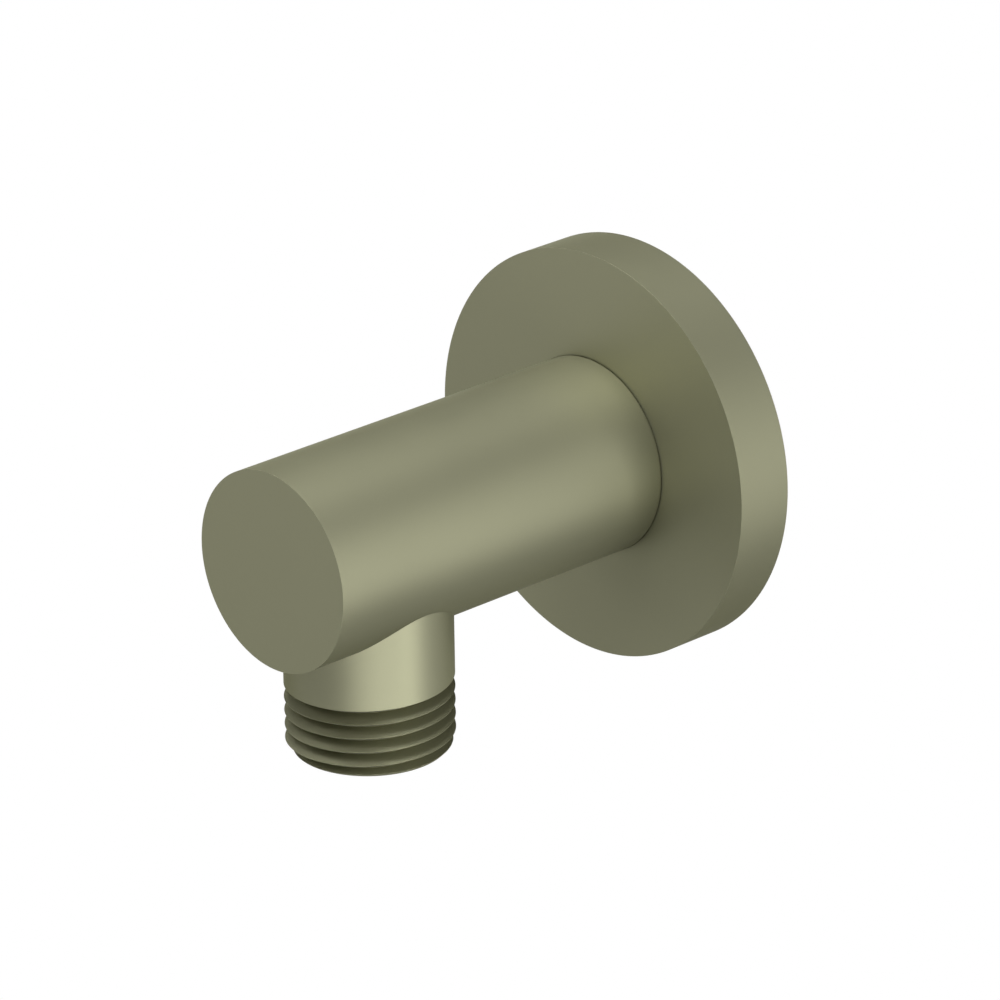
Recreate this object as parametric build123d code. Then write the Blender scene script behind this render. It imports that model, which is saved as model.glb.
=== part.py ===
from build123d import *
import math
import os

# Wall outlet elbow for a hand shower hose, in millimetres.
# The origin is where the body's axis meets the wall. +Z is up, and -Y points from the wall into the room.
# The outlet hangs from the body's underside and points down, along -Z.

# Pipe thread G 1/2, at both ends
PITCH = 25.4 / 14
THREAD_ROOT_R = 18.631 / 2
FLANK_ANGLE = 27.5
CREST_FLAT = 0.30
OVERCUT = 0.5
OUTLET_CREST_R = 10.40
INLET_MAJOR_R = 20.955 / 2

# Elbow body, measured forward from the wall
BODY_R = 12.7
BODY_FRONT = 61.2
BODY_REAR = 1.0
BODY_EDGE = 0.15
INLET_DEPTH = 15.0
INLET_THREADS = 6
INLET_MOUTH = 1.2
WATERWAY_R = 7.5
WATERWAY_END = 52.5
DRILL_HALF_ANGLE = 59

# Outlet, measured down from the body's axis
OUTLET_FORWARD = 46.0
SHANK_R = 10.56
SHANK_END = 18.55
OUTLET_END = 27.4
OUTLET_THREADS = 5
TIP_CHAMFER = 0.8
VALVE_BORE_R = 7.5
VALVE_SHOULDER = 13.0
NECK_R = 5.6

# Cover plate and its rubber ring
PLATE_R = 26.45
PLATE_THICK = 8.2
PLATE_FRONT_WALL = 2.0
PLATE_RIM_WALL = 1.8
PLATE_EDGE = 0.15
COLLAR_R = 15.4
COLLAR_BACK = 1.2
COLLAR_CLEARANCE = 0.12
RING_GROOVE_R = 14.3
RING_GROOVE_WIDTH = 2.4
RING_FORWARD = 4.4
RING_CLEARANCE = 0.03
RING_OVAL = 1.3

# Check valve, measured down from the body's axis
HOUSING_R = 7.4
HOUSING_TOP = 13.1
HOUSING_END = 25.6
SEAT_R = 4.6
SEAT_HEIGHT = 3.0
CHAMBER_R = 6.3
LEAD_IN = 0.5
SEAL_GROOVE_DEPTH = 1.1
SEAL_GROOVE_WIDTH = 1.9
SEAL_CLEARANCE = 0.02
SEAL_OVAL = 1.35
POPPET_R = 5.5
POPPET_HEIGHT = 1.7
POPPET_HUB_R = 3.9
POPPET_DOME = 1.0
STEM_R = 1.25
STEM_END = 23.6
LIP_R = 5.8
LIP_HEIGHT = 0.9
GUIDE_RING_HEIGHT = 2.2
GUIDE_RING_WALL = 1.0
GUIDE_ARM_WIDTH = 1.4
GUIDE_ARM_HEIGHT = 1.4
GUIDE_BOSS_R = 2.2
GUIDE_BOSS_TOP = 21.0
GUIDE_CLEARANCE = 0.05
STEM_CLEARANCE = 0.15
SPRING_R = 2.9
SPRING_WIRE_R = 0.2
SPRING_TURNS = 3.5


def turned(points):
    """A solid of revolution about Z, from (radius, height) points of its section."""
    outline = Polyline(*[(radius, 0, height) for radius, height in points], close=True)
    return revolve(make_face(outline), Axis.Z)


def oval_ring(ring_r, half_width, half_height, height):
    """A rubber ring about Z, squeezed to an oval section."""
    section = Plane.XZ * Pos(ring_r, height) * Ellipse(half_width, half_height)
    return revolve(section, Axis.Z)


def forward(shape):
    """Turns a shape that was built up along +Z so that it runs forward from the wall, along -Y."""
    return Rot(90, 0, 0) * shape


def at_outlet(shape):
    """Moves a shape that was built about Z onto the outlet's axis."""
    return Pos(0, -OUTLET_FORWARD, 0) * shape


def groove_section(open_r, bottom_r, start):
    """One V groove's section: it opens at open_r from the height start downwards, and is cut a little past it."""
    slant = math.tan(math.radians(FLANK_ANGLE))
    past_r = open_r + math.copysign(OVERCUT, open_r - bottom_r)
    slope = abs(open_r - bottom_r) * slant
    end = start - PITCH + CREST_FLAT
    return [
        (past_r, start + OVERCUT * slant),
        (bottom_r, start - slope),
        (bottom_r, end + slope),
        (past_r, end - OVERCUT * slant),
    ]


def thread_grooves(open_r, bottom_r, start, count):
    """A row of ring grooves at the thread's pitch about Z, as one cutting shape."""
    return Compound([
        turned(groove_section(open_r, bottom_r, start - turn * PITCH)) for turn in range(count)
    ])


def outlet_outside():
    """The outlet's outer form: plain shank, thread grooves and a chamfered tip."""
    blank = turned([
        (0, 0),
        (SHANK_R, 0),
        (SHANK_R, -SHANK_END),
        (OUTLET_CREST_R, -SHANK_END),
        (OUTLET_CREST_R, TIP_CHAMFER - OUTLET_END),
        (OUTLET_CREST_R - TIP_CHAMFER, -OUTLET_END),
        (0, -OUTLET_END),
    ])
    grooves = thread_grooves(OUTLET_CREST_R, THREAD_ROOT_R, -SHANK_END, OUTLET_THREADS)
    return at_outlet(blank - grooves)


def outlet_bore():
    """The valve's bore in the outlet, and the narrower neck that joins it to the waterway."""
    return at_outlet(turned([
        (0, 0),
        (NECK_R, 0),
        (NECK_R, -VALVE_SHOULDER),
        (VALVE_BORE_R, -VALVE_SHOULDER),
        (VALVE_BORE_R, -OUTLET_END - 1),
        (0, -OUTLET_END - 1),
    ]))


def inlet_bore():
    """The threaded hole for the wall pipe, its chamfered mouth and the drilled waterway beyond it."""
    mouth_r = THREAD_ROOT_R + INLET_MOUTH
    thread_end = BODY_REAR + INLET_DEPTH
    blank = turned([
        (0, BODY_REAR - 1),
        (mouth_r, BODY_REAR - 1),
        (mouth_r, BODY_REAR),
        (THREAD_ROOT_R, BODY_REAR + INLET_MOUTH),
        (THREAD_ROOT_R, thread_end),
        (WATERWAY_R, thread_end),
        (WATERWAY_R, WATERWAY_END),
        (0, WATERWAY_END + WATERWAY_R / math.tan(math.radians(DRILL_HALF_ANGLE))),
    ])
    deepest = BODY_REAR + INLET_MOUTH + INLET_THREADS * PITCH
    grooves = thread_grooves(THREAD_ROOT_R, INLET_MAJOR_R, deepest, INLET_THREADS)
    return forward(blank + grooves)


def elbow_body():
    """Closed round body with its outlet, one forged and machined piece."""
    barrel = turned([
        (0, BODY_REAR),
        (BODY_R - BODY_EDGE, BODY_REAR),
        (BODY_R, BODY_REAR + BODY_EDGE),
        (BODY_R, BODY_FRONT - BODY_EDGE),
        (BODY_R - BODY_EDGE, BODY_FRONT),
        (0, BODY_FRONT),
    ])
    return forward(barrel) + outlet_outside() - inlet_bore() - outlet_bore()


def escutcheon():
    """Round cover plate: flat front, rim, hollow back, and a collar with a groove for its ring."""
    bore_r = BODY_R + COLLAR_CLEARANCE
    groove_back = RING_FORWARD - RING_GROOVE_WIDTH / 2
    groove_front = RING_FORWARD + RING_GROOVE_WIDTH / 2
    hollow_front = PLATE_THICK - PLATE_FRONT_WALL
    return forward(turned([
        (bore_r, PLATE_THICK),
        (bore_r, groove_front),
        (RING_GROOVE_R, groove_front),
        (RING_GROOVE_R, groove_back),
        (bore_r, groove_back),
        (bore_r, COLLAR_BACK),
        (COLLAR_R, COLLAR_BACK),
        (COLLAR_R, hollow_front),
        (PLATE_R - PLATE_RIM_WALL, hollow_front),
        (PLATE_R - PLATE_RIM_WALL, 0),
        (PLATE_R, 0),
        (PLATE_R, PLATE_THICK - PLATE_EDGE),
        (PLATE_R - PLATE_EDGE, PLATE_THICK),
    ]))


def escutcheon_o_ring():
    """Rubber ring between the collar's groove and the body."""
    room = RING_GROOVE_R - BODY_R
    half_width = room / 2 - RING_CLEARANCE
    return forward(oval_ring(BODY_R + room / 2, half_width, half_width * RING_OVAL, RING_FORWARD))


def check_valve_housing():
    """Valve shell: seat ring at the top, seal groove outside it, open chamber below."""
    seat_under = HOUSING_TOP + SEAT_HEIGHT
    groove_middle = HOUSING_TOP + SEAT_HEIGHT / 2
    groove_top = groove_middle - SEAL_GROOVE_WIDTH / 2
    groove_under = groove_middle + SEAL_GROOVE_WIDTH / 2
    groove_r = HOUSING_R - SEAL_GROOVE_DEPTH
    return at_outlet(turned([
        (SEAT_R + LEAD_IN, -HOUSING_TOP),
        (HOUSING_R - LEAD_IN, -HOUSING_TOP),
        (HOUSING_R, -HOUSING_TOP - LEAD_IN),
        (HOUSING_R, -groove_top),
        (groove_r, -groove_top),
        (groove_r, -groove_under),
        (HOUSING_R, -groove_under),
        (HOUSING_R, -HOUSING_END),
        (CHAMBER_R, -HOUSING_END),
        (CHAMBER_R, -seat_under),
        (SEAT_R, -seat_under),
        (SEAT_R, -HOUSING_TOP - LEAD_IN),
    ]))


def check_valve_o_ring():
    """Rubber ring between the housing's groove and the outlet's bore."""
    groove_r = HOUSING_R - SEAL_GROOVE_DEPTH
    room = VALVE_BORE_R - groove_r
    half_width = room / 2 - SEAL_CLEARANCE
    middle = -HOUSING_TOP - SEAT_HEIGHT / 2
    return at_outlet(oval_ring(groove_r + room / 2, half_width, half_width * SEAL_OVAL, middle))


def poppet_top():
    """Height of the rubber ring's top face, just under the seat."""
    return -HOUSING_TOP - SEAT_HEIGHT - GUIDE_CLEARANCE


def check_valve_poppet():
    """Valve disc with a raised hub, a low dome above it and a stem below it."""
    top = poppet_top()
    disc_top = top - LIP_HEIGHT
    disc_under = top - POPPET_HEIGHT
    return at_outlet(turned([
        (0, top + POPPET_DOME),
        (POPPET_HUB_R - POPPET_DOME, top + POPPET_DOME),
        (POPPET_HUB_R, top),
        (POPPET_HUB_R, disc_top),
        (POPPET_R, disc_top),
        (POPPET_R, disc_under),
        (STEM_R, disc_under),
        (STEM_R, -STEM_END + STEM_R / 2),
        (STEM_R / 2, -STEM_END),
        (0, -STEM_END),
    ]))


def check_valve_lip_seal():
    """Flat rubber ring round the poppet's hub, with a thin lip at its edge."""
    top = poppet_top()
    inner_r = POPPET_HUB_R + GUIDE_CLEARANCE
    under = top - LIP_HEIGHT + GUIDE_CLEARANCE / 2
    return at_outlet(turned([
        (inner_r, top),
        (LIP_R, top),
        (LIP_R, top - LIP_HEIGHT / 3),
        (POPPET_R, under),
        (inner_r, under),
    ]))


def check_valve_guide():
    """Spider pressed into the housing's end: outer ring, three arms and a boss for the stem."""
    ring_top = -HOUSING_END + GUIDE_RING_HEIGHT
    outer_r = CHAMBER_R - GUIDE_CLEARANCE
    ring = turned([
        (outer_r - GUIDE_RING_WALL, ring_top),
        (outer_r, ring_top),
        (outer_r, -HOUSING_END),
        (outer_r - GUIDE_RING_WALL, -HOUSING_END),
    ])
    arm_length = outer_r - GUIDE_RING_WALL / 2
    arm = Box(
        arm_length,
        GUIDE_ARM_WIDTH,
        GUIDE_ARM_HEIGHT,
        align=(Align.MIN, Align.CENTER, Align.MIN),
    )
    arms = [Rot(0, 0, turn) * Pos(0, 0, -HOUSING_END) * arm for turn in (0, 120, 240)]
    boss_height = HOUSING_END - GUIDE_BOSS_TOP
    boss = Pos(0, 0, -HOUSING_END) * Cylinder(
        GUIDE_BOSS_R, boss_height, align=(Align.CENTER, Align.CENTER, Align.MIN)
    )
    hole = Pos(0, 0, -HOUSING_END) * Cylinder(STEM_R + STEM_CLEARANCE, 3 * boss_height)
    return at_outlet(ring + arms + boss - hole)


def check_valve_spring():
    """Round wire coiled round the guide's boss, between its arms and the poppet's disc."""
    under_disc = poppet_top() - POPPET_HEIGHT
    on_arms = -HOUSING_END + GUIDE_ARM_HEIGHT
    low = on_arms + SPRING_WIRE_R + GUIDE_CLEARANCE
    rise = under_disc - on_arms - 2 * (SPRING_WIRE_R + GUIDE_CLEARANCE)
    path = Helix(rise / SPRING_TURNS, rise, SPRING_R, center=(0, 0, low))
    section = Plane(path @ 0, z_dir=path % 0) * Circle(SPRING_WIRE_R)
    return at_outlet(sweep(section, path, is_frenet=True))


PIECES = {
    "elbow_body": elbow_body,
    "escutcheon": escutcheon,
    "escutcheon_o_ring": escutcheon_o_ring,
    "check_valve_housing": check_valve_housing,
    "check_valve_guide": check_valve_guide,
    "check_valve_poppet": check_valve_poppet,
    "check_valve_lip_seal": check_valve_lip_seal,
    "check_valve_spring": check_valve_spring,
    "check_valve_o_ring": check_valve_o_ring,
}

os.makedirs("parts", exist_ok=True)
for name, make in PIECES.items():
    piece = make()
    export_step(piece, f"parts/{name}.step")
    print(name, round(piece.volume, 1), "mm3")
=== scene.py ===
"""Wall outlet elbow for a hand shower hose, in a satin olive coat, over a plain pale floor."""

import math

import bpy
import numpy as np
from mathutils import Matrix, Vector

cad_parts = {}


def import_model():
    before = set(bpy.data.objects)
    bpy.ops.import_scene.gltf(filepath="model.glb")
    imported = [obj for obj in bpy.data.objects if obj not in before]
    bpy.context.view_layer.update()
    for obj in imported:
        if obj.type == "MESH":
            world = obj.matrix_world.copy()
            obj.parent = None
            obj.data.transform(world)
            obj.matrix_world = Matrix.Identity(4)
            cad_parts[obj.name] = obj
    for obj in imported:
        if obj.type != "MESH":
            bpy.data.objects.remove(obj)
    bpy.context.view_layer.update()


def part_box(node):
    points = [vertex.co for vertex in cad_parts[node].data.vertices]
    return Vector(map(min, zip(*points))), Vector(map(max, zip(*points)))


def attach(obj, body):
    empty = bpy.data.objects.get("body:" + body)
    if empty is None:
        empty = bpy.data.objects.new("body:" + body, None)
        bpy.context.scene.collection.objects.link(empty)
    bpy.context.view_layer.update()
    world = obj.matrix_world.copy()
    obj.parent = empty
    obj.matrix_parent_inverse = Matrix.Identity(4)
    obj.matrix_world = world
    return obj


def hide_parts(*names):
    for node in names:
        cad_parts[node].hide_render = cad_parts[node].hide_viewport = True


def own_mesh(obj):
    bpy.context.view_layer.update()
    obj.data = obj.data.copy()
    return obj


# Sizes are in millimetres, and MM turns them into metres.
# The origin is where the body's axis meets the wall, +Z is up and -Y points into the room.
MM = 0.001
MICRON = 0.000001
FULL_TURN = 2 * math.pi
QUARTER_TURN = math.pi / 2
UP = np.array([0, 0, 1.0])

# Points that round to the same multiples of this are one point of the mesh
WELD = 0.0001
# Steps in the arc of a rounded corner
ARC_STEPS = 4

# Pipe thread G 1/2. The outlet's grooves are deeper and its crests more pointed than the standard ones.
PITCH = 25.4 / 14
FLANK_ANGLE = math.radians(27.5)
CREST_R = 10.478
MINOR_R = 9.3155
INLET_DEPTH = 1.162
INLET_ROUNDING = 0.24
INLET_STEPS = 2
OUTLET_DEPTH = 1.68
OUTLET_ROUNDING = 0.03
OUTLET_STEPS = 4
# Turn over which a groove fades in at the thread's inner end
THREAD_FADE = math.radians(50)
# Rows down a thread's chamfer, for each step of its arcs
CHAMFER_ROWS = 6
# Share of the room for an arc of the thread that is left straight, so that no two arcs touch
STRAIGHT_SHARE = 0.01

# Elbow body, measured forward from the wall
BODY_R = 12.7
BODY_FRONT = 61.2
BODY_REAR = 1.0
BODY_EDGE = 0.01
INLET_MOUTH = 1.2
INLET_RUN_OUT = 12.6
INLET_THREAD_END = 13.6
INLET_END = 16.0
WATERWAY_R = 7.5
WATERWAY_END = 52.5
DRILL_TIP = 57.0

# Fine groove round the body, which shows as a dark line. At rest the cover plate hides its rear half.
LINE_R = 12.45
LINE_BACK = 8.0
LINE_FRONT = 8.39

# Outlet, on an axis OUTLET_FORWARD from the wall, and measured down from the body's axis
OUTLET_FORWARD = 46.0
NECK_R = 5.6
NECK_SPLIT = 10.0
VALVE_SHOULDER = 13.0
VALVE_BORE_R = 7.5
VALVE_BORE_EDGE = 0.1
THREAD_TOP = 16.5
OUTLET_END = 27.4
TIP_CHAMFER = 0.95
TIP_FLAT_R = 8.2
# The first crest's middle is at FIRST_CREST on the side that faces the camera, FACING_ANGLE round from +X
FIRST_CREST = 18.375
FACING_ANGLE = math.radians(316.7)

# Columns round the body, and rays round the outlet. The rays end on a rectangular patch's border, on the
# columns' points: it reaches PATCH_HALF each way round the body, with 2 * SIDE_RAYS steps along each side.
BODY_COLUMNS = 192
RAYS = 256
PATCH_HALF = math.radians(75)
SIDE_RAYS = 24
PATCH_RINGS = 16
BODY_PATCH_REACH = 13.6
WATERWAY_PATCH_REACH = 6.2
SADDLE_RINGS = 8
RAY_NUMBERS = np.arange(-SIDE_RAYS, RAYS - SIDE_RAYS + 1)
RAY_ANGLES = FULL_TURN * RAY_NUMBERS / RAYS
# The ray at which the outlet's thread starts
THREAD_START_RAY = 97

# Cover plate, measured forward from the wall
PLATE_R = 26.45
PLATE_THICK = 8.2
PLATE_FRONT_WALL = 2.0
PLATE_RIM_WALL = 1.8
PLATE_EDGE = 0.01
PLATE_BORE_R = 12.72
PLATE_COLUMNS = 256
COLLAR_R = 15.4
COLLAR_BACK = 1.2
RING_GROOVE_R = 14.3
RING_GROOVE_WIDTH = 2.4
RING_FORWARD = 4.4

# Rubber rings, squeezed to ovals: the gap to each neighbour, and the section's height over its width
PLATE_RING_GAP = 0.03
PLATE_RING_TALLNESS = 1.3
VALVE_RING_GAP = 0.02
VALVE_RING_TALLNESS = 1.35
RING_POINTS = 32
RING_COLUMNS = 160

# Check valve, measured down from the body's axis
HOUSING_R = 7.4
HOUSING_TOP = 13.1
HOUSING_END = 25.6
SEAT_R = 4.6
SEAT_HEIGHT = 3.0
CHAMBER_R = 6.3
SEAL_GROOVE_R = 6.3
SEAL_GROOVE_WIDTH = 1.9
BOSS_TOP = 21.0
HOUSING_COLUMNS = 128

# The valve's spider. Its heights are measured up from the housing's end.
GUIDE_GAP = 0.05
GUIDE_WALL = 1.0
GUIDE_HEIGHT = 2.2
ARMS = 3
ARM_HEIGHT = 1.4
ARM_HALF_WIDTH = 0.7
BOSS_R = 2.2
BOSS_COLUMNS = 64
STEM_GAP = 0.15
ARM_START = 0.8 * BOSS_R
ARM_END = CHAMBER_R - GUIDE_GAP - GUIDE_WALL + 0.4

# The valve's disc and its rubber ring, with the hub's top and the stem's end down from the body's axis
POPPET_TOP = 16.15
POPPET_R = 5.5
POPPET_HUB_R = 3.9
DOME = 1.0
STEM_R = 1.25
STEM_END = 23.6
LIP_R = 5.8
SEAL_GAP = 0.05
DISC_COLUMNS = 96
# Down from the hub's top: the flange's two faces, the rubber ring's underside and its lip's
FLANGE_TOP = 0.9
FLANGE_UNDER = 1.7
SEAL_UNDER = 0.875
LIP_UNDER = 0.3

# The valve's spring, which lies flat over CLOSED_TURNS at each end
SPRING_R = 2.9
SPRING_WIRE_R = 0.2
SPRING_TURNS = 3.5
CLOSED_TURNS = 0.75
SPRING_STEPS = 280
WIRE_POINTS = 12

# Finishes. The edge tint holds back the coat's reflections where it is seen at a grazing angle.
COAT_COLOUR = (0.210, 0.210, 0.139)
COAT_ROUGHNESS = 0.48
COAT_METALLIC = 0.8
COAT_EDGE_TINT = (0.30, 0.30, 0.21)
BRASS_COLOUR = (0.66, 0.47, 0.2)
RUBBER_COLOUR = (0.02, 0.02, 0.021)
WHITE_COLOUR = (0.78, 0.78, 0.75)
BLUE_COLOUR = (0.05, 0.16, 0.42)
STEEL_COLOUR = (0.62, 0.62, 0.6)

# The camera, where the photo's stood
CAMERA_AZIMUTH = math.radians(46.715)
CAMERA_ELEVATION = math.radians(22.352)
CAMERA_ROLL = math.radians(-0.848)
CAMERA_LENS = 208.39
SENSOR_WIDTH = 36
CAMERA_DISTANCE = 727.585
VIEW_MIDDLE = (-9.667, -14.581, -7.200)

# Floor, lamps and sky, in metres. The floor turns white from FLOOR_PLAIN to FLOOR_WHITE away from its middle.
FLOOR_HEIGHT = -1.0
FLOOR_SIZE = 12
FLOOR_COLOUR = (0.71, 0.71, 0.71)
FLOOR_PLAIN = 1.4
FLOOR_WHITE = 1.75
LAMP_DISTANCE = 0.9
LAMP_SIZE = 0.4
LAMP_MIDDLE = (0, -0.03, 0)
SKY_LEVEL = 0.15
# Heights of a reflection's direction, between level at 0 and upright at 1, over which white turns to sky
HORIZON_WHITE = 0.05
HORIZON_PLAIN = 0.2


def around(radius, angle, height):
    """Points at a radius and an angle about the Z axis, at a height. Each may be an array."""
    radius, angle, height = np.broadcast_arrays(radius, angle, height)
    return np.stack([radius * np.cos(angle), radius * np.sin(angle), height], -1)


def unit(vectors):
    """The same directions, one unit long."""
    return vectors / np.linalg.norm(vectors, axis=-1, keepdims=True)


def softened(share):
    """A share from 0 to 1 with an eased start and end: three times its square less twice its cube."""
    return share**2 * (3 - 2 * share)


def rounded(corners, closed=True, steps=ARC_STEPS):
    """Points and outward normals along a section of (radius, height, rounding) corners.
    At each corner the normal turns from one side's to the next one's, and an arc's point is its centre plus
    the rounding times the normal. The way round keeps the solid on its left."""
    here = np.array([corner[:2] for corner in corners], float)
    into = np.roll(np.diff(here, axis=0, append=here[:1]), 1, axis=0)
    out = np.roll(into, -1, axis=0)
    if not closed:
        into[0] = out[0]
        out[-1] = into[-1]
    into, out = unit(into), unit(out)
    turn = np.arctan2(into[:, 0] * out[:, 1] - into[:, 1] * out[:, 0], (into * out).sum(1))
    rounding = np.array([corner[2] for corner in corners]) * np.sign(turn)
    back = rounding * np.tan(turn / 2)
    facing = np.arctan2(into[:, 1], into[:, 0]) - QUARTER_TURN
    angles = facing[:, None] + turn[:, None] * np.linspace(0, 1, steps + 1)
    normals = np.stack([np.cos(angles), np.sin(angles)], -1)
    starts = here - into * back[:, None]
    points = starts[:, None] + rounding[:, None, None] * (normals - normals[:, :1])
    points, normals = points.reshape(-1, 2), normals.reshape(-1, 2)
    if closed:
        points = np.concatenate([points, points[:1]])
        normals = np.concatenate([normals, normals[:1]])
    return points, normals


def columns_round(count, first=0.0):
    """Angles of evenly spaced columns over one full turn, both ends included."""
    return first + np.linspace(0, FULL_TURN, count + 1)


def revolved(section, columns):
    """A section swept about the Z axis: each of its points becomes a circle at the same height."""
    points, normals = section
    return (
        around(points[:, :1], columns, points[:, 1:]),
        around(normals[:, :1], columns, normals[:, 1:]),
    )


def forward(surface):
    """Turns a surface built up along +Z so that it runs forward from the wall, along -Y."""
    return tuple(np.stack([part[..., 0], -part[..., 2], part[..., 1]], -1) for part in surface)


def at_outlet(surface):
    """Moves a surface built about the Z axis onto the outlet's axis."""
    points, normals = surface
    return points - np.array([0, OUTLET_FORWARD, 0]), normals


def outward_quads(grid, normals):
    """Faces between a grid's neighbouring points, as the points' numbers, turned to face with the normals."""
    rows, columns = grid.shape[:2]
    index = np.arange(rows * columns).reshape(rows, columns)
    quads = np.stack([index[:-1, :-1], index[:-1, 1:], index[1:, 1:], index[1:, :-1]], -1).reshape(-1, 4)
    corner = grid.reshape(-1, 3)[quads]
    area = np.cross(corner[:, 2] - corner[:, 0], corner[:, 3] - corner[:, 1])
    if (area * normals.reshape(-1, 3)[quads].sum(1)).sum() < 0:
        return quads[:, ::-1]
    return quads


def welded(points, quads):
    """Makes points that coincide one. It gives the first point at each place, the quads by their places'
    numbers, and which of their corners are kept: one of each pair that has met, and none of a quad that has
    shrunk to a line."""
    cells = np.round(points / WELD).astype(np.int64)
    _, first, place = np.unique(cells, axis=0, return_index=True, return_inverse=True)
    corners = place.reshape(-1)[quads]
    kept = corners != np.roll(corners, -1, axis=1)
    kept[(corners[:, 0] == corners[:, 2]) | (corners[:, 1] == corners[:, 3])] = False
    return first, corners, kept


def skin_object(name, *skins):
    """One closed mesh of skins. A skin is a material and its surfaces, and a surface is a grid of points with
    its true normals. Each face's corners keep the normals of their own surface, so edges stay crisp and
    curves smooth."""
    points, normals, quads, finishes = [], [], [], []
    start = 0
    for finish, (_, surfaces) in enumerate(skins):
        for grid, grid_normals in surfaces:
            faces = outward_quads(grid, grid_normals)
            points.append(grid.reshape(-1, 3))
            normals.append(grid_normals.reshape(-1, 3))
            quads.append(faces + start)
            finishes.append(np.full(len(faces), finish, np.int32))
            start += len(points[-1])
    points, normals = np.concatenate(points), unit(np.concatenate(normals))
    quads, finishes = np.concatenate(quads), np.concatenate(finishes)
    first, corners, kept = welded(points, quads)
    whole = kept.sum(1) > 2
    kept, corners, quads, finishes = kept[whole], corners[whole], quads[whole], finishes[whole]
    faces = [face[mask].tolist() for face, mask in zip(corners, kept)]
    mesh = bpy.data.meshes.new(name)
    mesh.from_pydata((points[first] * MM).tolist(), [], faces)
    for material, _ in skins:
        mesh.materials.append(material)
    mesh.polygons.foreach_set("use_smooth", np.ones(len(faces), bool))
    mesh.polygons.foreach_set("material_index", finishes)
    mesh.normals_split_custom_set(normals[quads[kept]].tolist())
    piece = bpy.data.objects.new(name, mesh)
    bpy.context.scene.collection.objects.link(piece)
    return piece


def thread_profile(groove, rounding, steps):
    """Depth under the crests, and its slope, at drops over one pitch, from a crest's middle to the next.
    The sides stand at the flank angle. The crest has the given rounding, and the root is one arc from side to
    side."""
    slant = groove * math.tan(FLANK_ANGLE)
    arc_room = math.tan(math.pi / 4 - FLANK_ANGLE / 2)
    crest = rounding * arc_room
    side_top = (1 + STRAIGHT_SHARE) * crest
    root = (1 - STRAIGHT_SHARE) * (PITCH / 2 - slant - crest) / arc_room
    points, normals = rounded([
        (0, -PITCH, 0),
        (0, side_top - PITCH, rounding),
        (-groove, side_top + slant - PITCH, root),
        (-groove, -side_top - slant, root),
        (0, -side_top, rounding),
        (0, 0, 0),
    ], closed=False, steps=steps)
    drops, depths = -points[::-1, 1], -points[::-1, 0]
    slopes = -normals[::-1, 1] / normals[::-1, 0]
    kept = np.diff(drops, prepend=-1) > WELD
    return drops[kept], depths[kept], slopes[kept]


def thread_heights(drops, helix, high, chamfer, end, chamfer_rows):
    """Heights of a thread's points. Its rows follow the helix, one at each drop of each pitch, held between
    high and the chamfer's start, and level rows go on down the chamfer to the end."""
    first = math.floor((helix.min() - high) / PITCH)
    last = math.ceil((helix.max() - chamfer) / PITCH)
    rows = (drops[:-1] + PITCH * np.arange(first, last)[:, None]).reshape(-1, 1)
    tip = np.linspace(chamfer, end, chamfer_rows + 1)[:, None] + 0 * helix
    return np.concatenate([np.clip(helix - rows, chamfer, high), tip])


def threaded(radius, side, profile, columns, crest, high, chamfer, end, chamfer_rows):
    """A round surface about the Z axis with a right-hand thread in it, from high down to its chamfered end.
    side is -1 where the groove is cut inwards from an outside, and 1 where it is cut outwards from a hole.
    crest is the height of the helix of the crest's middle at angle 0; it rises one pitch a turn.
    The drop below the helix, taken once a pitch, gives the groove's depth. Over its first stretch the groove
    fades in, as it does where the tool runs out. The chamfer is a 45 degree cone."""
    drops, depths, slopes = profile
    helix = crest + PITCH * columns / FULL_TURN
    height = thread_heights(drops, helix, high, chamfer, end, chamfer_rows)

    drop = helix - height
    turn = np.floor(drop / PITCH)
    fade = np.clip((columns[-1] - columns + FULL_TURN * turn) / THREAD_FADE, 0, 1)
    share = softened(fade)
    share_rate = -6 * fade * (1 - fade) / THREAD_FADE
    depth = np.interp(drop - turn * PITCH, drops, depths)
    slope = share * np.interp(drop - turn * PITCH, drops, slopes)
    wall = radius + side * share * depth
    rise = -side * slope
    twist = side * (slope * PITCH / FULL_TURN + share_rate * depth)

    cone = radius + side * np.maximum(chamfer - height, 0)
    cut = side * (cone - wall) > 0
    wall = np.where(cut, cone, wall)
    rise = np.where(cut, -side, rise)
    twist = np.where(cut, 0, twist)
    normals = around(1, columns, -rise) - (twist / wall)[..., None] * around(1, columns + QUARTER_TURN, 0)
    return around(wall, columns, height), -side * unit(normals)


def tube_surface(tube_r, angle, along, facing):
    """A part of the round tube along Y. Its point at the angle a from straight down and the length y from the
    outlet's axis, both of which may be arrays, is (tube_r sin a, y, -tube_r cos a). facing is 1 on an outside
    and -1 in a bore."""
    angle, along = np.broadcast_arrays(angle, along)
    normals = np.stack([np.sin(angle), 0 * angle, -np.cos(angle)], -1)
    points = tube_r * normals + np.stack([0 * angle, along - OUTLET_FORWARD, 0 * angle], -1)
    return points, facing * normals


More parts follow.
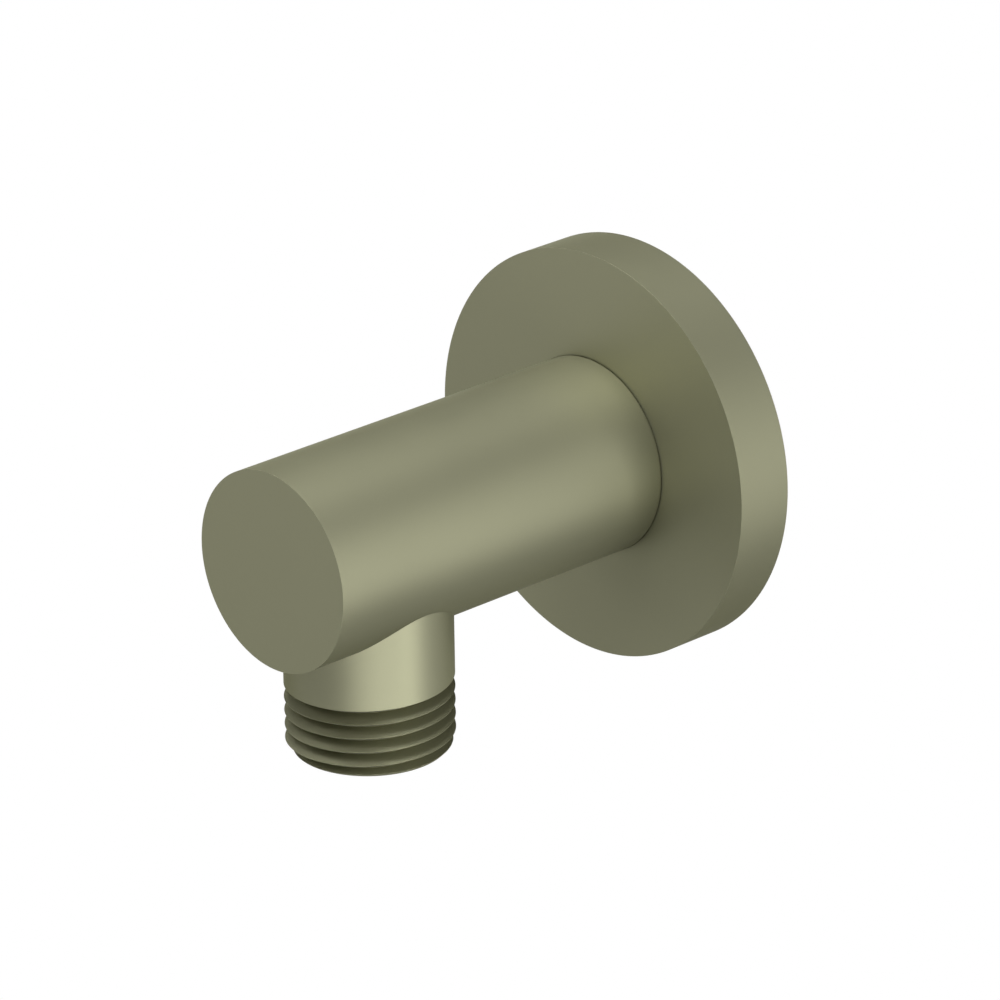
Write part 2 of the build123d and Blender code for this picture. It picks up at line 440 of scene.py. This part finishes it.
def pierced_tube(tube_r, hole_r, reach, facing):
    """A stretch of the tube with a round opening for the outlet in its underside. The patch round the opening
    runs in straight rays, in angle and length, from the saddle curve where the two cylinders meet to a
    rectangle, and a plain grid goes round the rest."""
    wide = BODY_COLUMNS * PATCH_HALF / math.pi
    stops = np.cumsum([-SIDE_RAYS, 2 * SIDE_RAYS, wide, 2 * SIDE_RAYS, wide])
    border_angle = np.interp(RAY_NUMBERS, stops, PATCH_HALF * np.array([1, 1, -1, -1, 1]))
    border_along = np.interp(RAY_NUMBERS, stops, reach * np.array([-1, 1, 1, -1, -1]))
    saddle_angle = np.arcsin(hole_r * np.cos(RAY_ANGLES) / tube_r)
    saddle_along = hole_r * np.sin(RAY_ANGLES)
    share = np.linspace(0, 1, PATCH_RINGS + 1)[:, None]
    angle = saddle_angle + share * (border_angle - saddle_angle)
    along = saddle_along + share * (border_along - saddle_along)
    rest_angle = np.linspace(PATCH_HALF, FULL_TURN - PATCH_HALF, BODY_COLUMNS - round(wide) + 1)
    rest_along = np.linspace(-reach, reach, 2 * SIDE_RAYS + 1)[:, None]
    return [
        tube_surface(tube_r, angle, along, facing),
        tube_surface(tube_r, rest_angle, rest_along, facing),
    ]


def saddle_tube(tube_r, hole_r, end, facing):
    """The outlet's round wall, from the saddle curve z = -sqrt(tube_r^2 - (hole_r cos a)^2) down to end.
    facing is 1 on its outside and -1 in its bore."""
    saddle = -np.sqrt(tube_r**2 - (hole_r * np.cos(RAY_ANGLES)) ** 2)
    share = np.linspace(0, 1, SADDLE_RINGS + 1)[:, None]
    height = saddle + share * (end - saddle)
    return around(hole_r, RAY_ANGLES, height), facing * around(1, RAY_ANGLES, 0 * height)


def body_outside(columns):
    """The body's closed front and its rear, with the fine groove, and the stretch that the outlet pierces."""
    front = rounded([
        (BODY_R, OUTLET_FORWARD + BODY_PATCH_REACH, 0),
        (BODY_R, BODY_FRONT, BODY_EDGE),
        (0, BODY_FRONT, 0),
    ], closed=False)
    rear = rounded([
        (MINOR_R + INLET_MOUTH, BODY_REAR, 0),
        (BODY_R, BODY_REAR, BODY_EDGE),
        (BODY_R, LINE_BACK, 0),
        (LINE_R, LINE_BACK, 0),
        (LINE_R, LINE_FRONT, 0),
        (BODY_R, LINE_FRONT, 0),
        (BODY_R, OUTLET_FORWARD - BODY_PATCH_REACH, 0),
    ], closed=False)
    ends = [forward(revolved(section, columns)) for section in (front, rear)]
    return ends + pierced_tube(BODY_R, CREST_R, BODY_PATCH_REACH, 1)


def waterway(columns):
    """The drilled waterway: cone tip, shoulder behind the wall thread, and the stretch over the outlet."""
    tip = rounded([
        (0, DRILL_TIP, 0),
        (WATERWAY_R, WATERWAY_END, 0),
        (WATERWAY_R, OUTLET_FORWARD + WATERWAY_PATCH_REACH, 0),
    ], closed=False)
    shoulder = rounded([
        (WATERWAY_R, OUTLET_FORWARD - WATERWAY_PATCH_REACH, 0),
        (WATERWAY_R, INLET_END, 0),
        (MINOR_R, INLET_END, 0),
        (MINOR_R, INLET_THREAD_END, 0),
    ], closed=False)
    ends = [forward(revolved(section, columns)) for section in (tip, shoulder)]
    return ends + pierced_tube(WATERWAY_R, NECK_R, WATERWAY_PATCH_REACH, -1)


def wall_thread(columns):
    """The inside thread for the wall pipe. It starts INLET_RUN_OUT from the wall, at the last column."""
    return forward(threaded(
        MINOR_R, 1, thread_profile(INLET_DEPTH, INLET_ROUNDING, INLET_STEPS), columns,
        crest=INLET_RUN_OUT - PITCH * columns[-1] / FULL_TURN,
        high=INLET_THREAD_END,
        chamfer=BODY_REAR + INLET_MOUTH,
        end=BODY_REAR,
        chamfer_rows=CHAMFER_ROWS * INLET_STEPS,
    ))


def outlet_outside(columns):
    """The outlet's plain round wall, its thread with the chamfered end, and its flat tip."""
    wall = saddle_tube(BODY_R, CREST_R, -THREAD_TOP, 1)
    thread = threaded(
        CREST_R, -1, thread_profile(OUTLET_DEPTH, OUTLET_ROUNDING, OUTLET_STEPS), columns,
        crest=-FIRST_CREST - PITCH * FACING_ANGLE / FULL_TURN,
        high=-THREAD_TOP,
        chamfer=TIP_CHAMFER - OUTLET_END,
        end=-OUTLET_END,
        chamfer_rows=CHAMFER_ROWS * OUTLET_STEPS,
    )
    edge = thread[0][-1]
    flat = np.stack([edge, around(TIP_FLAT_R, columns, -OUTLET_END)])
    tip = flat, np.broadcast_to(-UP, flat.shape)
    return [at_outlet(surface) for surface in (wall, thread, tip)]


def outlet_bore(columns):
    """The neck below the waterway, and the wider bore below it that holds the valve."""
    neck = saddle_tube(WATERWAY_R, NECK_R, -NECK_SPLIT, -1)
    bore = rounded([
        (NECK_R, -NECK_SPLIT, 0),
        (NECK_R, -VALVE_SHOULDER, 0),
        (VALVE_BORE_R, -VALVE_SHOULDER, 0),
        (VALVE_BORE_R, -OUTLET_END, VALVE_BORE_EDGE),
        (TIP_FLAT_R, -OUTLET_END, 0),
    ], closed=False)
    return [at_outlet(neck), at_outlet(revolved(bore, columns))]


def elbow_body(coat, brass):
    """Closed round body with its outlet and both threads, one skin outside and in. The coat ends at the wall
    thread's mouth and on the outlet's flat tip, at TIP_FLAT_R."""
    columns = columns_round(BODY_COLUMNS, -PATCH_HALF - QUARTER_TURN)
    outlet_columns = columns_round(RAYS, FULL_TURN * THREAD_START_RAY / RAYS)
    outside = body_outside(columns) + outlet_outside(outlet_columns)
    inside = waterway(columns) + [wall_thread(columns)] + outlet_bore(outlet_columns)
    return skin_object("olive_elbow_body", (coat, outside), (brass, inside))


def cover_plate(coat):
    """Round cover plate: flat front, rim, hollow back, and a collar with the groove for its rubber ring."""
    groove_back = RING_FORWARD - RING_GROOVE_WIDTH / 2
    groove_front = RING_FORWARD + RING_GROOVE_WIDTH / 2
    hollow = PLATE_THICK - PLATE_FRONT_WALL
    inner_r = PLATE_R - PLATE_RIM_WALL
    section = rounded([
        (PLATE_R, 0, 0.2),
        (PLATE_R, PLATE_THICK, PLATE_EDGE),
        (PLATE_BORE_R, PLATE_THICK, 0.03),
        (PLATE_BORE_R, groove_front, 0.05),
        (RING_GROOVE_R, groove_front, 0.1),
        (RING_GROOVE_R, groove_back, 0.1),
        (PLATE_BORE_R, groove_back, 0.05),
        (PLATE_BORE_R, COLLAR_BACK, 0.1),
        (COLLAR_R, COLLAR_BACK, 0.1),
        (COLLAR_R, hollow, 0.3),
        (inner_r, hollow, 0.5),
        (inner_r, 0, 0.1),
    ])
    surface = forward(revolved(section, columns_round(PLATE_COLUMNS)))
    return skin_object("olive_cover_plate", (coat, [surface]))


def oval_ring(inner_r, outer_r, gap, tallness, height):
    """A rubber ring squeezed between two radii, with a gap to each. Its section is the oval
    (middle + half_width cos t, height + half_height sin t), and tallness is its height over its width."""
    middle = (outer_r + inner_r) / 2
    half_width = (outer_r - inner_r) / 2 - gap
    half_height = tallness * half_width
    t = columns_round(RING_POINTS)
    points = np.stack([middle + half_width * np.cos(t), height + half_height * np.sin(t)], -1)
    normals = unit(np.stack([np.cos(t) / half_width, np.sin(t) / half_height], -1))
    return revolved((points, normals), columns_round(RING_COLUMNS))


def plate_ring(rubber):
    """The ring between the plate's collar and the body, with the size it is squeezed to."""
    oval = oval_ring(BODY_R, RING_GROOVE_R, PLATE_RING_GAP, PLATE_RING_TALLNESS, RING_FORWARD)
    return skin_object("plate_rubber_ring", (rubber, [forward(oval)]))


def valve_ring(rubber):
    """The ring between the valve's housing and the outlet's bore, with the size it is squeezed to."""
    height = -HOUSING_TOP - SEAT_HEIGHT / 2
    oval = oval_ring(SEAL_GROOVE_R, VALVE_BORE_R, VALVE_RING_GAP, VALVE_RING_TALLNESS, height)
    return skin_object("valve_rubber_ring", (rubber, [at_outlet(oval)]))


def valve_housing(plastic):
    """Moulded shell of the valve: seat ring, groove for its rubber ring, open chamber below."""
    seat_under = -HOUSING_TOP - SEAT_HEIGHT
    groove_middle = -HOUSING_TOP - SEAT_HEIGHT / 2
    groove_top = groove_middle + SEAL_GROOVE_WIDTH / 2
    groove_under = groove_middle - SEAL_GROOVE_WIDTH / 2
    section = rounded([
        (SEAT_R, -HOUSING_TOP, 0.4),
        (SEAT_R, seat_under, 0.1),
        (CHAMBER_R, seat_under, 0.2),
        (CHAMBER_R, -HOUSING_END, 0.15),
        (HOUSING_R, -HOUSING_END, 0.25),
        (HOUSING_R, groove_under, 0.05),
        (SEAL_GROOVE_R, groove_under, 0.1),
        (SEAL_GROOVE_R, groove_top, 0.1),
        (HOUSING_R, groove_top, 0.05),
        (HOUSING_R, -HOUSING_TOP, 0.4),
    ])
    surface = at_outlet(revolved(section, columns_round(HOUSING_COLUMNS)))
    return skin_object("valve_housing_shell", (plastic, [surface]))


def guide_ring():
    """The spider's outer ring, just clear of the housing's wall."""
    outer_r = CHAMBER_R - GUIDE_GAP
    inner_r = outer_r - GUIDE_WALL
    top = -HOUSING_END + GUIDE_HEIGHT
    section = rounded([
        (outer_r, -HOUSING_END, 0.1),
        (outer_r, top, 0.15),
        (inner_r, top, 0.15),
        (inner_r, -HOUSING_END, 0.15),
    ])
    return revolved(section, columns_round(HOUSING_COLUMNS))


def guide_boss():
    """The spider's boss, with the hole for the stem."""
    hole_r = STEM_R + STEM_GAP
    section = rounded([
        (BOSS_R, -HOUSING_END, 0.15),
        (BOSS_R, -BOSS_TOP, 0.3),
        (hole_r, -BOSS_TOP, 0.1),
        (hole_r, -HOUSING_END, 0.2),
    ])
    return revolved(section, columns_round(BOSS_COLUMNS))


def guide_arm(turn):
    """An arm of the spider, at a turn about the stem: a softened upright section carried straight outwards
    from inside the boss to inside the ring. At both ends the section also shrinks to its middle, as a cap."""
    top = -HOUSING_END + ARM_HEIGHT
    side, side_normals = rounded([
        (ARM_HALF_WIDTH, -HOUSING_END, 0.15),
        (ARM_HALF_WIDTH, top, 0.25),
        (-ARM_HALF_WIDTH, top, 0.25),
        (-ARM_HALF_WIDTH, -HOUSING_END, 0.15),
    ])
    middle = np.array([0, (top - HOUSING_END) / 2])
    squeeze = np.array([0, 1, 1, 0])[:, None, None]
    outline = middle + squeeze * (side - middle)
    reach = np.array([ARM_START, ARM_START, ARM_END, ARM_END])[:, None, None]
    ends = np.array([-1, 0, 0, 1])[:, None, None]
    ahead, across = around(1, turn, 0), around(1, turn + QUARTER_TURN, 0)
    points = reach * ahead + outline[..., :1] * across + outline[..., 1:] * UP
    walls = side_normals[:, :1] * across + side_normals[:, 1:] * UP
    return points, np.where(ends == 0, walls, ends * ahead)


def valve_guide(plastic):
    """Spider in the housing's end: a ring, three arms and a boss for the stem, all with softened edges."""
    arms = [guide_arm(FULL_TURN * number / ARMS) for number in range(ARMS)]
    surfaces = [at_outlet(surface) for surface in [guide_ring(), guide_boss()] + arms]
    return skin_object("valve_guide_spider", (plastic, surfaces))


def valve_poppet(plastic):
    """Valve disc with a low dome above its hub and a stem below it."""
    top = -POPPET_TOP
    section = rounded([
        (0, -STEM_END, 0),
        (STEM_R, -STEM_END, 0.5),
        (STEM_R, top - FLANGE_UNDER, 0.3),
        (POPPET_R, top - FLANGE_UNDER, 0.3),
        (POPPET_R, top - FLANGE_TOP, 0.1),
        (POPPET_HUB_R, top - FLANGE_TOP, 0.1),
        (POPPET_HUB_R, top, 0.4),
        (POPPET_HUB_R - DOME, top + DOME, 0.8),
        (0, top + DOME, 0),
    ], closed=False)
    surface = at_outlet(revolved(section, columns_round(DISC_COLUMNS)))
    return skin_object("valve_poppet_disc", (plastic, [surface]))


def valve_lip_seal(rubber):
    """Flat rubber ring round the disc's hub, with a thin lip at its edge."""
    inner_r = POPPET_HUB_R + SEAL_GAP
    top = -POPPET_TOP
    section = rounded([
        (inner_r, top - SEAL_UNDER, 0.1),
        (POPPET_R, top - SEAL_UNDER, 0.1),
        (LIP_R, top - LIP_UNDER, 0.1),
        (LIP_R, top, 0.12),
        (inner_r, top, 0.1),
    ])
    surface = at_outlet(revolved(section, columns_round(DISC_COLUMNS)))
    return skin_object("valve_lip_ring", (rubber, [surface]))


def valve_spring(steel):
    """Round wire along a helix of SPRING_TURNS turns. It stays level over CLOSED_TURNS at each end, as a
    spring's closed ends do, and rises between them with an eased start and end."""
    low, high = (corner.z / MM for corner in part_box("check_valve_spring"))
    share = np.linspace(0, 1, SPRING_STEPS + 1)
    angle = FULL_TURN * SPRING_TURNS * share
    closed = CLOSED_TURNS / SPRING_TURNS
    climb = softened(np.clip((share - closed) / (1 - 2 * closed), 0, 1))
    path = around(SPRING_R, angle, low + SPRING_WIRE_R + climb * (high - low - 2 * SPRING_WIRE_R))
    along = unit(np.gradient(path, axis=0))
    outward = around(1, angle, 0)
    upward = np.cross(outward, along)
    t = columns_round(WIRE_POINTS)[None, :, None]
    normals = np.cos(t) * outward[:, None] + np.sin(t) * upward[:, None]
    points = path[:, None] + SPRING_WIRE_R * normals
    surfaces = [(points, normals)]
    for end, sign in ((0, -1), (-1, 1)):
        centre = np.broadcast_to(path[end], points[end].shape)
        cap = np.stack([centre, points[end]])
        surfaces.append((cap, np.broadcast_to(sign * along[end], cap.shape)))
    return skin_object("valve_spring_wire", (steel, [at_outlet(surface) for surface in surfaces]))


def new_material(name):
    """A new material, its node tree and its shader."""
    material = bpy.data.materials.new(name)
    material.use_nodes = True
    return material, material.node_tree, material.node_tree.nodes["Principled BSDF"]


def math_result(tree, operation, *values):
    """The result of a math node. Each of its values is a number or another node's output."""
    node = tree.nodes.new("ShaderNodeMath")
    node.operation = operation
    for socket, value in zip(node.inputs, values):
        if isinstance(value, float):
            socket.default_value = value
        else:
            tree.links.new(value, socket)
    return node.outputs[0]


def grain_group():
    """Fine uneven grain, as on a sprayed, moulded or machined surface: two sizes of noise in object space.
    It gives a colour a little lighter and darker, an uneven roughness, and a height for a bump."""
    group = bpy.data.node_groups.new("fine_grain", "ShaderNodeTree")
    new_socket = group.interface.new_socket
    new_socket("Colour", in_out="INPUT", socket_type="NodeSocketColor")
    for name in ("Colour change", "Roughness", "Roughness change", "Fine scale", "Broad scale"):
        new_socket(name, in_out="INPUT", socket_type="NodeSocketFloat")
    new_socket("Colour", in_out="OUTPUT", socket_type="NodeSocketColor")
    new_socket("Roughness", in_out="OUTPUT", socket_type="NodeSocketFloat")
    new_socket("Height", in_out="OUTPUT", socket_type="NodeSocketFloat")
    nodes, links = group.nodes, group.links
    given = nodes.new("NodeGroupInput").outputs
    result = nodes.new("NodeGroupOutput").inputs
    place = nodes.new("ShaderNodeTexCoord")
    noises = []
    for name in ("Fine scale", "Broad scale"):
        noise = nodes.new("ShaderNodeTexNoise")
        noise.inputs["Detail"].default_value = 3
        links.new(place.outputs["Object"], noise.inputs["Vector"])
        links.new(given[name], noise.inputs["Scale"])
        noises.append(noise.outputs["Fac"])
    fine, broad = noises
    # Each noise has its middle at a half, so this swings round 0
    swing = math_result(group, "SUBTRACT", math_result(group, "ADD", fine, broad), 1.0)
    lightness = math_result(group, "MULTIPLY_ADD", swing, given["Colour change"], 1.0)
    shade = nodes.new("ShaderNodeVectorMath")
    shade.operation = "SCALE"
    links.new(given["Colour"], shade.inputs[0])
    links.new(lightness, shade.inputs["Scale"])
    roughness = math_result(group, "MULTIPLY_ADD", swing, given["Roughness change"], given["Roughness"])
    links.new(shade.outputs[0], result["Colour"])
    links.new(roughness, result["Roughness"])
    links.new(fine, result["Height"])
    return group


def grained(name, grain, colour, roughness, bump, colour_change=0.05, roughness_change=0.05,
            fine_scale=4000.0, broad_scale=60.0):
    """A material with the fine grain in its colour, roughness and bump, and its shader. bump is the grain's
    height in microns."""
    material, tree, shader = new_material(name)
    effect = tree.nodes.new("ShaderNodeGroup")
    effect.node_tree = grain
    effect.inputs["Colour"].default_value = (*colour, 1)
    effect.inputs["Colour change"].default_value = colour_change
    effect.inputs["Roughness"].default_value = roughness
    effect.inputs["Roughness change"].default_value = roughness_change
    effect.inputs["Fine scale"].default_value = fine_scale
    effect.inputs["Broad scale"].default_value = broad_scale
    raised = tree.nodes.new("ShaderNodeBump")
    raised.inputs["Distance"].default_value = bump * MICRON
    tree.links.new(effect.outputs["Colour"], shader.inputs["Base Color"])
    tree.links.new(effect.outputs["Roughness"], shader.inputs["Roughness"])
    tree.links.new(effect.outputs["Height"], raised.inputs["Height"])
    tree.links.new(raised.outputs["Normal"], shader.inputs["Normal"])
    return material, shader


def olive_coat(grain):
    """The smooth satin olive coat outside, with its soft metallic sheen."""
    material, shader = grained("satin_olive_coat", grain, COAT_COLOUR, roughness=COAT_ROUGHNESS, bump=1)
    shader.inputs["Metallic"].default_value = COAT_METALLIC
    shader.inputs["Specular Tint"].default_value = (*COAT_EDGE_TINT, 1)
    return material


def bare_brass(grain):
    """Machined brass in the bores, which the coat doesn't reach."""
    material, shader = grained("bare_brass", grain, BRASS_COLOUR, roughness=0.32, bump=3)
    shader.inputs["Metallic"].default_value = 1
    return material


def black_rubber(grain):
    """Dull black rubber with a fine moulded grain."""
    material, shader = grained(
        "black_rubber", grain, RUBBER_COLOUR, roughness=0.6, bump=8, colour_change=0.3, roughness_change=0.1
    )
    shader.inputs["Specular IOR Level"].default_value = 0.35
    return material


def moulded_plastic(grain, name, colour):
    """Smooth moulded plastic that lets a little light in."""
    material, shader = grained(
        name, grain, colour, roughness=0.38, bump=4, colour_change=0.04, roughness_change=0.08,
        fine_scale=2500.0, broad_scale=120.0
    )
    shader.inputs["Subsurface Weight"].default_value = 0.1
    shader.inputs["Subsurface Radius"].default_value = (MM, MM, MM)
    shader.inputs["Subsurface Scale"].default_value = 0.5
    return material


def stainless_wire(grain):
    """Drawn stainless wire."""
    material, shader = grained(
        "stainless_wire", grain, STEEL_COLOUR, roughness=0.25, bump=2, colour_change=0.06,
        roughness_change=0.08
    )
    shader.inputs["Metallic"].default_value = 1
    return material


def direction(azimuth, elevation):
    """The direction out to an azimuth and an elevation, in radians. Azimuth 0 is in front, along -Y, and a
    quarter turn is at the right, along +X."""
    return Vector((
        math.sin(azimuth) * math.cos(elevation),
        -math.cos(azimuth) * math.cos(elevation),
        math.sin(elevation),
    ))


def camera():
    """The camera, from a fit to the photo's outlines. It stands CAMERA_DISTANCE from VIEW_MIDDLE, which is in
    the middle of its picture, and is turned by a slight roll."""
    back = direction(CAMERA_AZIMUTH, CAMERA_ELEVATION)
    level = Vector((math.cos(CAMERA_AZIMUTH), math.sin(CAMERA_AZIMUTH), 0))
    upright = back.cross(level)
    right = level * math.cos(CAMERA_ROLL) + upright * math.sin(CAMERA_ROLL)
    up = back.cross(right)
    data = bpy.data.cameras.new("photo_camera")
    data.sensor_width = SENSOR_WIDTH
    data.lens = CAMERA_LENS
    data.clip_start = 0.01
    lens = bpy.data.objects.new("photo_camera", data)
    place = (Vector(VIEW_MIDDLE) + back * CAMERA_DISTANCE) * MM
    lens.matrix_world = Matrix.Translation(place) @ Matrix((right, up, back)).transposed().to_4x4()
    bpy.context.scene.collection.objects.link(lens)
    bpy.context.scene.camera = lens


def soft_lamp(name, azimuth, elevation, strength):
    """A square lamp LAMP_DISTANCE from the object's middle, facing it. The angles are in degrees. strength is
    its brightness per surface, where 1 looks white."""
    data = bpy.data.lights.new(name, "AREA")
    data.shape = "RECTANGLE"
    data.size = LAMP_SIZE
    data.size_y = LAMP_SIZE
    data.energy = strength * LAMP_SIZE * LAMP_SIZE * math.pi
    lamp = bpy.data.objects.new(name, data)
    back = direction(math.radians(azimuth), math.radians(elevation))
    place = Vector(LAMP_MIDDLE) + back * LAMP_DISTANCE
    lamp.matrix_world = Matrix.Translation(place) @ back.to_track_quat("Z", "Y").to_matrix().to_4x4()
    lamp.visible_camera = False
    bpy.context.scene.collection.objects.link(lamp)


def lamps():
    """Soft boxes above, in front and at both sides, each with its azimuth, elevation and strength."""
    soft_lamp("overhead_lamp", 90, 82, 10.08)
    soft_lamp("front_top_lamp", 5, 73, 7.88)
    soft_lamp("left_top_lamp", -79, 67, 6.96)
    soft_lamp("left_front_top_lamp", -27, 61, 7.80)
    soft_lamp("front_high_lamp", 25, 55, 7.19)
    soft_lamp("left_front_lamp", -52, 26, 4.47)
    soft_lamp("right_rear_lamp", 117, 30, 1.09)
    soft_lamp("right_lamp", 105, 16, 4.53)
    soft_lamp("right_low_lamp", 100, -15, 6.65)
    soft_lamp("right_front_low_lamp", 68, -20, 4.21)
    soft_lamp("front_low_lamp", 48, -13, 2.14)
    soft_lamp("front_under_lamp", 35, -26, 2.08)


def seen_white(tree, plain, fade):
    """A shader that is plain white to the camera and in reflections, and gives the plain shader's light
    otherwise. fade, from 0 to 1, is where that white shows."""
    path = tree.nodes.new("ShaderNodeLightPath")
    seen = path.outputs["Is Camera Ray"]
    for kind in ("Is Glossy Ray", "Is Transmission Ray"):
        seen = math_result(tree, "MAXIMUM", seen, path.outputs[kind])
    white = tree.nodes.new("ShaderNodeEmission")
    white.inputs["Strength"].default_value = 1
    mixed = tree.nodes.new("ShaderNodeMixShader")
    tree.links.new(math_result(tree, "MULTIPLY", seen, fade), mixed.inputs["Fac"])
    tree.links.new(plain, mixed.inputs[1])
    tree.links.new(white.outputs[0], mixed.inputs[2])
    return mixed.outputs[0]


def eased(tree, value, start, end):
    """0 where the value is at start and 1 where it is at end, with an eased rise between."""
    ramp = tree.nodes.new("ShaderNodeMapRange")
    ramp.interpolation_type = "SMOOTHSTEP"
    ramp.inputs["From Min"].default_value = min(start, end)
    ramp.inputs["From Max"].default_value = max(start, end)
    ramp.inputs["To Min"].default_value = float(start > end)
    ramp.inputs["To Max"].default_value = float(start < end)
    tree.links.new(value, ramp.inputs["Value"])
    return ramp.outputs["Result"]


def surroundings():
    """An even, plain light from all round. The camera sees it white, and reflections do near the horizon."""
    world = bpy.data.worlds.new("studio")
    bpy.context.scene.world = world
    world.use_nodes = True
    tree = world.node_tree
    tree.nodes.clear()
    sky = tree.nodes.new("ShaderNodeBackground")
    sky.inputs["Color"].default_value = (1, 1, 1, 1)
    sky.inputs["Strength"].default_value = SKY_LEVEL
    place = tree.nodes.new("ShaderNodeTexCoord")
    height = tree.nodes.new("ShaderNodeSeparateXYZ")
    tree.links.new(place.outputs["Generated"], height.inputs[0])
    near_horizon = eased(tree, height.outputs["Z"], HORIZON_PLAIN, HORIZON_WHITE)
    path = tree.nodes.new("ShaderNodeLightPath")
    shown = math_result(tree, "MAXIMUM", near_horizon, path.outputs["Is Camera Ray"])
    output = tree.nodes.new("ShaderNodeOutputWorld")
    tree.links.new(seen_white(tree, sky.outputs[0], shown), output.inputs["Surface"])


def pale_floor():
    """A wide pale floor under the object, which turns white away from it."""
    bpy.ops.mesh.primitive_plane_add(size=FLOOR_SIZE, location=(0, 0, FLOOR_HEIGHT))
    floor = bpy.context.object
    floor.name = "pale_floor"
    material, tree, shader = new_material("pale_floor")
    shader.inputs["Base Color"].default_value = (*FLOOR_COLOUR, 1)
    shader.inputs["Roughness"].default_value = 0.7
    place = tree.nodes.new("ShaderNodeTexCoord")
    away = tree.nodes.new("ShaderNodeVectorMath")
    away.operation = "LENGTH"
    tree.links.new(place.outputs["Object"], away.inputs[0])
    far = eased(tree, away.outputs["Value"], FLOOR_PLAIN, FLOOR_WHITE)
    output = tree.nodes["Material Output"]
    tree.links.new(seen_white(tree, shader.outputs[0], far), output.inputs["Surface"])
    floor.data.materials.append(material)


def scene():
    """The object on its frame, the camera, the lamps and the floor."""
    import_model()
    grain = grain_group()
    coat, brass = olive_coat(grain), bare_brass(grain)
    rubber = black_rubber(grain)
    white = moulded_plastic(grain, "white_plastic", WHITE_COLOUR)
    blue = moulded_plastic(grain, "blue_plastic", BLUE_COLOUR)
    pieces = [
        (elbow_body(coat, brass), "elbow", "elbow_body", "olive_coat"),
        (cover_plate(coat), "cover_plate", "escutcheon", "olive_coat"),
        (plate_ring(rubber), "cover_plate", "escutcheon_o_ring", "black_rubber"),
        (valve_housing(white), "elbow", "check_valve_housing", "white_plastic"),
        (valve_guide(white), "elbow", "check_valve_guide", "white_plastic"),
        (valve_ring(rubber), "elbow", "check_valve_o_ring", "black_rubber"),
        (valve_poppet(blue), "valve_disc", "check_valve_poppet", "blue_plastic"),
        (valve_lip_seal(rubber), "valve_disc", "check_valve_lip_seal", "black_rubber"),
    ]
    spring = valve_spring(stainless_wire(grain))
    pieces.append((spring, "elbow", "check_valve_spring", "stainless_wire"))
    for piece, body, node, slot in pieces:
        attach(piece, body)
        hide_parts(node)
    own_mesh(spring)

    camera()
    surroundings()
    pale_floor()
    lamps()
    bpy.context.scene.view_settings.view_transform = "Standard"


scene()
